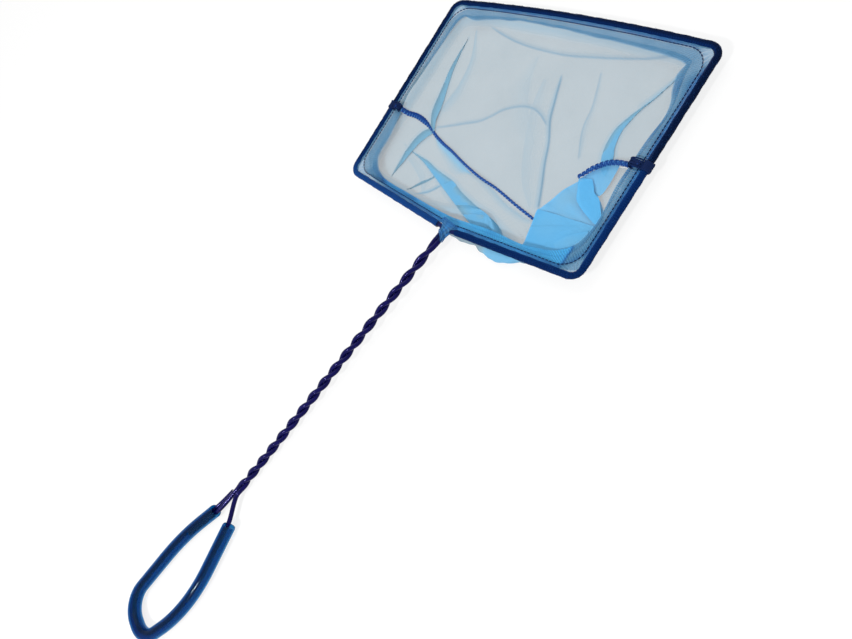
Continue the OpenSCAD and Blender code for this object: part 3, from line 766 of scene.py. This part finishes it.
fringes = [
    fringeParts([(halfW, fringe["meetY"]), *bars[1:], neckLeft], bends[1:], fringe["count"][0]),
    fringeParts([neckRight, bars[0], (halfW, fringe["meetY"])], bends[:1], fringe["count"][1]),
]
makePiece("hemFringe", fringes, fringeFinish, "hem_mesh")

# Lockstitch line: short rounded stitches in a row
stitch = {"length": 2.2, "pitch": 2.5, "radius": 0.34, "height": 9.5, "rings": (-1, -0.72, 0, 0.72, 1)}


def stitchRow(path):
    # each stitch is a long ball: rings across it shrink as a circle does toward its ends
    places = evenSteps(np.vstack([path, path[:1]]), stitch["pitch"])[:-1]
    way = wayAlong(places, True)
    t = np.array(stitch["rings"])[:, None]
    ring = ringProfile((np.sqrt(1 - t ** 2) + 0.02)[:, 0] * stitch["radius"], 6)
    grid = (places[:, None] + way[:, None] * t * stitch["length"] / 2)[:, :, None]
    grid = grid + sideOf(way)[:, None, None] * ring[..., :1] + upward * ring[..., 1:]
    return repeated(grid, tone=0.0)


makePiece("hemStitch", [stitchRow(raised(stitchLine, stitch["height"]))], knotFinish, "thread", "hem_stitch")
print("hem made")

# Bag: the seams, the bag's folded end and its lines, each point as x and y in the CAD frame
bag = {
    "floor": 0.9, "rim": 8.6, "slopeFrom": 3.5, "slopeWidth": 9.0, "puff": 1.0, "ripple": 0.1, "columns": 260,
    "farRows": 150, "nearRows": 84, "slopeShade": 0.8, "flat": (0.335, 0.24), "area": 0.048,
    "leftSeam": [(-97, 162.0), (-92, 162.4), (-86, 163), (-80, 162.9), (-74, 161.9), (-66, 159.6), (-59, 156.6),
        (-52, 153.6), (-43, 150.6), (-33, 148.0), (-16.5, 142.8), (0, 138.6), (17, 135.8), (35.5, 131.2), (53.5, 127.2)],
    "bottom": [(54.5, 133.5), (56.8, 142.6), (59.7, 150.8)],
    "rightSeam": [(59.7, 150.8), (65.3, 159.4), (69.8, 165.9), (74.2, 170.6), (78.9, 173.6), (83.2, 174.9), (88, 175.5),
        (93, 175.8), (97, 175.9)],
}
seamLine = throughPoints(bag["leftSeam"] + bag["bottom"] + bag["rightSeam"][1:], 1.0)

# Folds: the side on top, how blue they look, and a line of places with the overlap's width
folds = {
    "highLeft": (1, 0.4, [(-80, 232, 0.6), (-77.5, 212, 3.2), (-73.6, 194, 5.0), (-70.1, 181.6, 6.8),
        (-66.8, 170.7, 7.6), (-62.5, 161, 3.6)]),
    "lowLeft": (1, 0.4, [(-59, 158.5, 3.0), (-64, 152.5, 7.6), (-67.5, 145, 7.4), (-69.4, 134, 5.8), (-70.4, 124, 3.2),
        (-71.3, 114, 0.4)]),
    "nearBig": (-1, 0.64, [(-64.2, 137.4, 0.4), (-49.1, 134.5, 3.2), (-36.3, 130.4, 4.8), (-20, 125.8, 8.2),
        (-7.4, 121, 8.4), (10, 115.4, 10.5), (24, 111.6, 12.0), (40, 106.5, 12.0), (52, 103, 10.0)]),
    "nearSmall": (1, 0.4, [(-50.5, 110.5, 0.4), (-43.8, 118.7, 2.2), (-37.5, 123, 1.9), (-32.5, 125.4, 0.4)]),
    "farRight": (1, 0.62, [(84, 236, 0.5), (79, 221, 1.2), (74.8, 211.5, 1.8), (71.5, 203.5, 3.2), (69.4, 194.2, 4.9),
        (70.5, 184, 6.2), (73.5, 176, 7.2), (76.5, 169, 4.0)]),
}

# Creases: height, how dark the painted shade along the line is, how blue the painted shade on the soft side is, the
# soft side, and a line of places with the width
creases = {
    "middle": (0.8, 0.95, 0.22, -1, [(13, 217, 0.8), (17.5, 205, 1.6), (23, 190, 1.8), (31.5, 176, 1.5),
        (39.5, 158, 1.8), (50, 137, 2.0)]),
    "middleSoft": (0.15, 0.1, 0.08, 1, [(2, 212, 2), (6, 195, 4), (16, 172, 5), (30, 148, 4), (44, 135, 3)]),
    "middleRight": (0.5, 0.55, 0.1, 1, [(37.6, 224.9, 0.8), (44.7, 205.4, 1.4), (48.2, 188.7, 1.8), (55, 173.7, 1.0)]),
    "rightFar": (0.5, 0.3, 0.45, -1, [(84, 236, 1.0), (80, 224, 1.5), (75, 212, 1.8)]),
    "farSwag": (0.6, 0.85, 0.12, 1, [(-62, 241, 0.6), (-50, 237.6, 1.2), (-34, 234.6, 1.5), (-16, 232.8, 1.6),
        (6, 233.2, 1.8), (28, 235.4, 1.8), (50, 239.4, 1.4), (74, 244, 0.8)]),
    "midSwag": (0.5, 0.75, 0.14, 1, [(-57, 160, 0.8), (-40, 168.6, 1.4), (-24.5, 175.5, 1.4), (-13, 186.4, 1.2),
        (-3, 191.6, 1.6), (6.4, 193.1, 1.8), (14, 191, 1.8), (21, 186.8, 1.4)]),
    "underSeam": (0.15, 0.0, 0.55, -1, [(-52, 152.6, 0.6), (-46, 150.4, 1.8), (-38, 148.2, 2.6), (-28, 145.2, 3.0),
        (-19, 142.8, 2.2), (-10, 140.6, 0.6)]),
    "seamEnd": (0.1, 0.2, 0.2, -1, [(-8, 140, 0.8), (10, 136.6, 1.2), (30, 132.2, 1.2), (50, 127.6, 1.0)]),
    "lowBranch": (0.4, 0.6, 0.3, 1, [(-39.8, 111.5, 0.6), (-34.9, 114.3, 1.4), (-28.7, 117.4, 1.4),
        (-23.7, 119.7, 0.6)]),
    "lowSoft": (0.25, 0.15, 0.1, 1, [(-78, 140, 1.0), (-60, 130, 3), (-45, 122, 3), (-36, 113, 2)]),
    "farLeft": (0.3, 0.25, 0.15, 1, [(-76, 236, 0.8), (-64, 214, 2.4), (-60, 190, 3.0), (-58, 176, 2)]),
    "farMiddle": (0.15, 0.08, 0.06, -1, [(-12, 226, 2), (-8, 210, 5), (4, 190, 6), (22, 172, 4)]),
}


def insetAt(x, y):
    # distance inside the line of the bars: a soft smallest of three, so it rounds the corners
    top = halfD + hoop["farBow"] * (1 - (x / halfW) ** 2) - (y - middle)
    bottom = halfD + hoop["nearDip"] * np.clip(neckShare(x), 0, 1) + (y - middle)
    near = np.stack([np.minimum(top, bottom), halfW - np.abs(x)], 0) / 4.0
    return -4.0 * np.log(np.exp(-near).sum(0))


def loweredAt(x, y):
    # 0 at the mouth and 1 where the cloth lies on the floor
    return past(insetAt(x, y), bag["slopeFrom"], bag["slopeWidth"])


def besideLine(x, y, points):
    # distance across a line's nearest point and past its end, and the line's third value and direction there
    line = throughPoints(points, count=60)
    way = wayAlong(line[:, :2])
    k = ((x.ravel()[:, None] - line[:, 0]) ** 2 + (y.ravel()[:, None] - line[:, 1]) ** 2).argmin(1)
    offX, offY = x.ravel() - line[k, 0], y.ravel() - line[k, 1]
    across = way[k, 0] * offY - way[k, 1] * offX
    along = way[k, 0] * offX + way[k, 1] * offY
    return [v.reshape(x.shape) for v in (across, along, line[k, 2], way[k, 0], way[k, 1])]


# How a fold and a crease are shaped across their lines
foldForm = {"reach": 1.31, "swing": 1.5, "layer": 0.14, "perWidth": 0.04, "most": 0.42, "steep": 1.4, "spread": 1.9}
# in creaseForm, core and coreWidth set the thin line of painted shade along each crease
creaseForm = {"past": 2.5, "high": 0.4, "easy": 1.4, "steep": 0.35, "core": 0.7, "coreWidth": 1.2}


def foldCloth(x, y, z):
    # across a fold the cloth runs past the line, back and on again:
    # shift = -1.5 w q exp((1 - q^2) / 2), where q = distance / w
    dx, dy, dz, blue, dark = (np.zeros_like(x) for k in range(5))
    for side, depth, points in folds.values():
        across, along, width, wayX, wayY = besideLine(x, y, points)
        w = np.maximum(width, 0.2) / foldForm["reach"]
        q = across / w
        fade = bell(along / np.maximum(w, 1.0)) * rise(width / 0.8)
        shift = -foldForm["swing"] * w * q * np.exp((1 - q * q) / 2) * fade
        dx += -wayY * shift
        dy += wayX * shift
        layer = np.minimum(foldForm["layer"] + width * foldForm["perWidth"], foldForm["most"])
        dz += layer * (1.15 - side * np.tanh(foldForm["steep"] * q)) * bell(q / foldForm["spread"]) * fade
        blue = np.maximum(blue, depth * (1 - past(np.abs(q), 1.2, 0.8)) * fade * (0.45 + 0.55 * rise(width / 6)))
    # across a crease the cloth stands up in a soft ridge, steep on one side and easy on the other; painted shade
    # darkens a thin core line and turns the ridge bluer
    for height, lineShade, sideShade, side, points in creases.values():
        across, along, width, wayX, wayY = besideLine(x, y, points)
        q = across * side / np.maximum(width, 0.2)
        fade = bell(along / creaseForm["past"])
        ridge = bell(q / np.where(q > 0, creaseForm["easy"], creaseForm["steep"])) * fade
        core = bell(across / creaseForm["core"]) * rise(width / creaseForm["coreWidth"])
        dz += height * width * creaseForm["high"] * ridge
        blue = np.maximum(blue, sideShade * ridge)
        dark = np.maximum(dark, lineShade * fade * np.maximum(0.3 * ridge, core))
    return x + dx, y + dy, z + dz, blue, dark


# The mouth's far and near runs part where the side seams reach the hem
def nearestTo(line, x, y):
    # the number of the line's nearest point
    return int(np.argmin(np.linalg.norm(line - np.array([x, middle + y]), axis=1)))


mouthX = halfW - hem["stitchInset"]
mouth = np.roll(stitchLine, -nearestTo(stitchLine, mouthX, tieRight), 0)
leftK = nearestTo(mouth, -mouthX, tieLeft)
farMouth = mouth[:leftK + 1][::-1]
nearMouth = np.vstack([mouth[leftK:], mouth[:1]])


def matched(edge, line, count, ends):
    # two lines read so that places with about the same x share a column
    read = []
    for points in (evenSteps(edge, count=2000), evenSteps(line, count=2000)):
        points[:, 0] = np.maximum.accumulate(points[:, 0])
        key = np.maximum.accumulate(points[:, 0] * (1 - ends) + ends * np.linspace(-halfW, halfW, 2000))
        at = np.linspace(key[0], key[-1], count)
        read.append(join(*[np.interp(at, key, column) for column in points.T]))
    return read


# Sag: the bag comes out under the near bar and lies on the floor before it
sag = {
    "line": [(-101, 112), (-60, 108), (-20, 105), (-5, 101), (3.8, 96.1), (15.3, 95.6), (28.1, 97.0), (37, 94.4),
        (45.7, 93.9), (53.8, 96.1), (61, 100.5), (75, 104.5), (101, 112)],
    "wavy": 0.35, "near": (-124, 12), "turnZ": 3.4, "floor": 1.0, "rows": 11, "settle": 0.16,
    "shade": 0.05, "blue": 0.55, "blueFrom": (30, 10), "blueTo": (-66, 8), "clothOut": 14, "clothBack": 8,
}


def sagRows(top, firstY):
    # a quarter turn out from the rim, y by its sine and z by its cosine, and another back to the floor
    k = np.linspace(0, 1, sag["rows"] + 1)[:-1, None]
    out, settled = np.sin(k * math.pi / 2), 1 - np.cos(k * math.pi / 2)
    x, y = top.T
    weight = past(-y, *sag["near"])
    edge = np.interp(x, *np.transpose(sag["line"])) + sag["wavy"] * waves(x, 0, 3, 5, 12)
    edge = y + (edge - y) * weight
    goZ = bag["rim"] - (bag["rim"] - sag["turnZ"]) * settled
    backZ = sag["turnZ"] - (sag["turnZ"] - sag["floor"]) * out
    rows = [join(x, y * (1 - out) + edge * out, goZ), join(x, edge + (firstY - edge) * settled, backZ)]
    cloth = [join(x, y - sag["clothBack"] - sag["clothOut"] * (1 - k)), join(x, y - sag["clothBack"] * (1 - k))]
    blue = (sag["shade"] + sag["blue"] * past(x, *sag["blueFrom"]) * past(-x, *sag["blueTo"])) * weight
    return rows, cloth, [blue + 0 * k] * 2, weight


def bagWall(edge, sags, seed, rows):
    # straight rows from the mouth to the seam, lowered to the floor; the near wall begins with the sag
    top, foot = matched(edge, seamLine, bag["columns"], 0.35)
    v = np.linspace(0, 1, rows)[:, None]
    cloth = top * (1 - v[..., None]) + foot * v[..., None]
    x, y = cloth[..., 0], cloth[..., 1]
    down = loweredAt(x, y)
    z = bag["floor"] + (bag["rim"] - bag["floor"]) * (1 - down) + bag["ripple"] * waves(x, y, seed + 5, 7, 14)
    z = z + bag["puff"] * down * (0.5 + 0.5 * waves(x, y, seed, 7, 60))
    x, y, z, blue, dark = foldCloth(x, y, z)
    blue = np.maximum(blue, bag["slopeShade"] * down * (1 - down))
    if sags:
        sagGrid, sagCloth, sagBlue, weight = sagRows(top, y[0])
        easing = rise(v / sag["settle"])
        z = z * easing + (1 - easing) * (sag["floor"] * weight + (1 - weight) * z)
        cloth, blue = np.vstack([*sagCloth, cloth]), np.vstack([*sagBlue, blue])
        dark = np.vstack([0 * sagBlue[0]] * 2 + [dark])
        return gridPart(np.vstack([*sagGrid, join(x, y, z)]), uv=cloth, fold=blue, crease=dark)
    return gridPart(join(x, y, z), uv=cloth, fold=blue, crease=dark)


farWall = bagWall(farMouth, False, 21, bag["farRows"])
nearWall = bagWall(nearMouth, True, 22, bag["nearRows"])

# The bag's folded end in the near right corner: more layers, with ripples and darker lines of painted shade that fan
# out from one place
endForm = {"fan": (88.4, 137), "fanHigh": 0.16, "fanLineShade": 0.35, "slope": (4, 9), "ripple": 0.15}


def layerOver(left, right, rows, columns, lift, seed, tint, edgeTint, fans=False, raiseBy=3.0):
    # straight rows between two lines, raised toward the bars; ripples run round the fan's place, and painted shade
    # darkens lines that run out from it
    a, b = throughPoints(left, count=rows), throughPoints(right, count=rows)
    v = np.linspace(0, 1, columns)[None, :, None]
    flat = a[:, None] * (1 - v) + b[:, None] * v
    x, y = flat[..., 0], flat[..., 1]
    z = lift + endForm["ripple"] * waves(x, y, seed, 6, 22)
    lines = 0
    if fans:
        fanX, fanY = x - endForm["fan"][0], y - endForm["fan"][1]
        angle, away = np.arctan2(fanY, fanX), rise(np.hypot(fanX, fanY) / 20)
        z = z + endForm["fanHigh"] * np.sin(angle * 14) * away
        strong = 0.5 + 0.5 * waves(x, y, seed + 4, 5, 30)
        lines = endForm["fanLineShade"] * bell(np.sin(angle * 7 + 0.4) / 0.09) * away * strong
    z = z + (1 - past(insetAt(x, y), *endForm["slope"])) * raiseBy
    fromEdge = v[..., 0] * np.linalg.norm(b - a, axis=1)[:, None]
    value = tint + edgeTint * (0.6 * np.exp(-fromEdge / 1.2) + 0.4 * bell(fromEdge / 12))
    value = value + 0.07 * waves(x, y, seed + 9, 6, 24)
    return gridPart(raised(flat, z), uv=flat, fold=value, crease=lines)


endParts = [
    layerOver([(58.5, 106), (56.6, 112.6), (53.4, 126), (51.9, 133.1), (53.3, 135.6), (56.2, 142.6), (59.7, 150.8),
               (65.3, 158.2)],
              [(86, 106), (91, 112), (95, 122), (95.5, 134), (92, 143.8), (86.5, 150), (80, 155), (73, 161)],
              80, 60, 2.6, 31, 0.6, 0.3, True),
    layerOver([(58.5, 106), (56.4, 112.6), (53.2, 126), (51.9, 133.1), (54, 134)],
              [(92, 108), (94, 114), (95, 122), (95.5, 132), (90, 137)], 60, 60, 3.3, 32, 0.78, 0.35, True),
    layerOver([(73.7, 119.4), (80, 126.5), (88.4, 133)], [(78, 115), (88, 121), (93, 129)], 30, 20, 4.1, 34, 0.6, 0.3),
    layerOver([(65.6, 159.3), (68.9, 153), (71.8, 147.3), (75.7, 144.3), (81.4, 141.3), (87.6, 138.7), (92, 137)],
              [(73.5, 161.5), (77.2, 157.5), (80, 154), (84.2, 152), (88.8, 146.4), (91.3, 143.8), (95, 141)],
              60, 24, 4.8, 33, 1.0, 0.3, raiseBy=1.6),
    layerOver([(66, 160), (70, 166), (74.2, 170.6), (78.9, 173.6), (83.5, 174.4)],
              [(71, 158), (77.2, 157), (80.6, 153.6), (83.6, 155.6), (84.2, 163)],
              50, 24, 3.6, 35, 0.62, 0.4, raiseBy=2.2),
]
bagPiece = makePiece("netBag", [farWall, nearWall] + endParts, bagFinish, "bag_mesh", "net_bag")
print("bag made")

# Overlocked seams: a flat cord of cloth edge wound with thread, and a chain along it
seam = {
    "half": 1.05, "high": 0.6, "pitch": 2.7, "threadR": 0.28, "step": 0.25, "threadStep": 0.34, "over": 1.4,
    "overRim": 0.6, "core": 0.86, "coreEvery": 3, "chainLead": 0.9, "chainWide": 0.96, "chainHigh": 1.1, "sway": 0.15,
}


def seamParts(points, wideEnd, narrow, seed, lift):
    # threads at side * wide * cosine + up * high * sine of the angle wound so far, round a flat core
    flat = throughPoints(points, seam["step"])
    down = loweredAt(*flat.T)
    path = raised(flat, (bag["floor"] + lift) * down + (bag["rim"] + seam["overRim"]) * (1 - down) + seam["over"])
    along = lengthAlong(path)
    path[:, 2] += seam["sway"] * waves(along, 0, seed, 5, 12)
    size = 1 + wideEnd * (1 - past(along, 26, 16)) - narrow * past(along, 50, 30)
    wide, high = seam["half"] * size, seam["high"] * size
    angle = along / seam["pitch"] * fullTurn
    lead = angle + seam["chainLead"]
    wound = join(np.cos(angle) * wide, np.sin(angle) * high)
    chain = join(-np.cos(lead) * wide * seam["chainWide"], np.abs(np.sin(lead)) * high * seam["chainHigh"])
    threads = carry(path, np.stack([wound, chain], 1)).swapaxes(0, 1)
    ovals = ringProfile(1.0, 8) * join(wide, high)[:, None] * seam["core"]
    parts = [rod(path[::seam["coreEvery"]], ovals[::seam["coreEvery"]], tone=1.0)]
    ring = ringProfile(seam["threadR"], 6)
    return parts + [rod(evenSteps(line, seam["threadStep"]), ring, tone=0.0) for line in threads]


makePiece("leftSeam", seamParts(bag["leftSeam"], 0.9, 0.25, 51, 0.0), threadFinish, "thread", "left_seam")
makePiece("rightSeam", seamParts(bag["rightSeam"][:0:-1], 0.6, 0.0, 52, 3.4), threadFinish, "thread", "right_seam")

# Ties: thread wound round bar and sleeve, and knotted over the band on the inner side
tie = {
    "radius": 2.6, "turns": 8, "pitch": 0.72, "threadR": 0.42, "sides": 8, "reachLeft": 8.5, "reachRight": 11.5,
    "longTurns": 11, "spread": 2.5, "overBar": 1.4, "drop": 0.6, "thick": 1.5, "thicker": 0.9,
    "knotAt": 4.2, "knots": ((0.0, 1.0, 1.5), (1.1, 0.8, 2.1)),  # turn, size and height of each loop
}


def tieParts(x, y, seed, reachIn):
    # turns round the bar, then longer turns that take in the band, then a knot of crossed loops
    inward = -math.copysign(1, x)
    origin = np.array([x, middle + y, hoop["height"]])
    ring = ringProfile(tie["threadR"], tie["sides"])
    a = np.linspace(0, tie["turns"] * fullTurn, 44 * tie["turns"])
    loose = tie["radius"] + 0.1 * waves(a * 3, a * 0, seed, 5, 9)
    turns = join(loose * np.cos(a), tie["pitch"] * (a / fullTurn - tie["turns"] / 2), loose * np.sin(a))
    b = np.linspace(0, tie["longTurns"] * fullTurn, 700)
    reach = reachIn * (0.9 + 0.07 * np.sin(b / 3.3 + 0.4) + 0.03 * np.sin(b * 0.71)) / 2
    along = tie["spread"] * np.sin(b / 22 * 2.5 + 0.4) * (0.75 + 0.25 * np.sin(b * 0.41)) + 0.3 * np.sin(b * 1.3)
    thick = tie["thick"] + tie["thicker"] * (0.5 + 0.5 * np.cos(b)) + 0.25 * np.sin(b * 0.6)
    dropped = -tie["drop"] * (0.5 - 0.5 * np.cos(b))
    out = inward * (reach - tie["overBar"] + (reach + tie["overBar"]) * np.cos(b))
    longer = join(out, along, dropped + thick * np.sin(b))
    parts = [rod(turns + origin, ring, (0, 1, 0), tone=0.0), rod(longer + origin, ring, (0, 1, 0.02), tone=0.0)]
    c = np.linspace(0, fullTurn, 110)[:-1]
    for turn, size, lift in tie["knots"]:
        knot = join(
            inward * tie["knotAt"] + size * 0.95 * (np.sin(c + turn) + 1.6 * np.sin(2 * c)),
            size * 0.85 * (np.cos(c + turn) - 1.6 * np.cos(2 * c)),
            lift - 0.55 * np.sin(3 * c),
        )
        parts.append(gridPart(carry(knot + origin, ring, closed=True), wrapRows=True, wrapColumns=True, tone=0.0))
    return parts


makePiece("leftTie", tieParts(-halfW, tieLeft, 41, tie["reachLeft"]), knotFinish, "thread", "left_tie")
makePiece("rightTie", tieParts(halfW, tieRight, 42, tie["reachRight"]), knotFinish, "thread", "right_tie")
print("seams and ties made")

for node in ("hoop_core", "left_strand_core", "right_strand_core", "grip_core", "return_core"):
    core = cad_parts[node]
    core.data.materials.clear()
    core.data.materials.append(steel.material)

# Camera from the perspective fit
camera = {
    "lens": 25.0, "place": (0.24645, 0.050865, 0.30198),
    "right": (0.6732, 0.5311, -0.5145), "down": (0.4391, -0.8470, -0.2998), "forward": (-0.5950, -0.0241, -0.8034),
}
cameraData = bpy.data.cameras.new("camera")
cameraData.lens = camera["lens"]
cameraData.sensor_width = 36
cameraData.clip_start = 0.01
cameraObject = addObject("camera", cameraData)
stand = np.eye(4)
stand[:3, :3] = np.transpose([camera["right"], camera["down"], camera["forward"]]) * [1, -1, -1]
stand[:3, 3] = camera["place"]
cameraObject.matrix_world = Matrix(stand.tolist())
bpy.context.scene.camera = cameraObject

# Floor: white to the eye, with part of its shade kept so that the net's shadow stays
floorLook = {"half": 6, "z": -0.0003, "dark": (0.93, 0.93, 0.93), "light": (0.95, 0.95, 0.95), "glow": 0.8}
far = floorLook["half"]
floorMesh = bpy.data.meshes.new("floor")
corners = [(x, y, floorLook["z"]) for x, y in ((-far, -far), (far, -far), (far, far), (-far, far))]
floorMesh.from_pydata(corners, [], [(0, 1, 2, 3)])
floorObject = addObject("floor", floorMesh)
floor = Finish("floorWhite")
paper = floor.mix(floor.noise(floor.place(), 3), floorLook["dark"], floorLook["light"])
diffuse = floor.node("ShaderNodeBsdfDiffuse", {}, {"Color": paper})
glow = floor.node("ShaderNodeEmission", {}, {"Color": (1.0, 1.0, 1.0), "Strength": 1.0})
seen = floor.seenRay() * floorLook["glow"]
floor.put(floor.out.inputs[0], floor.node("ShaderNodeMixShader", {}, {0: seen, 1: diffuse, 2: glow}))
floorMesh.materials.append(floor.material)

# World: even light, white where it is seen; a wide lamp high on the left and a small one for highlights
light = {
    "world": 0.68,
    "softBox": (10.0, 1.4, (-0.9, 1.0, 2.0), (0.0, 0.0, 0.0)),  # watts, width, place, aim
    "spark": (15.0, 0.12, (0.1, -0.97, 1.25), (-0.04, -0.15, 0.0)),
}
world = bpy.data.worlds.new("world")
bpy.context.scene.world = world
world.use_nodes = True
sky = Nodes(world.node_tree)
background = world.node_tree.nodes["Background"]
sky.put(background.inputs["Color"], (1.0, 1.0, 1.0))
sky.put(background.inputs["Strength"], light["world"] + (1 - light["world"]) * sky.seenRay())
for name in ("softBox", "spark"):
    power, width, place, aim = light[name]
    lampData = bpy.data.lights.new(name, "AREA")
    lampData.size = width
    lampData.energy = power
    lamp = addObject(name, lampData)
    lamp.location = place
    lamp.rotation_euler = (Vector(aim) - lamp.location).to_track_quat("-Z", "Y").to_euler()
bpy.context.scene.view_settings.view_transform = "Standard"
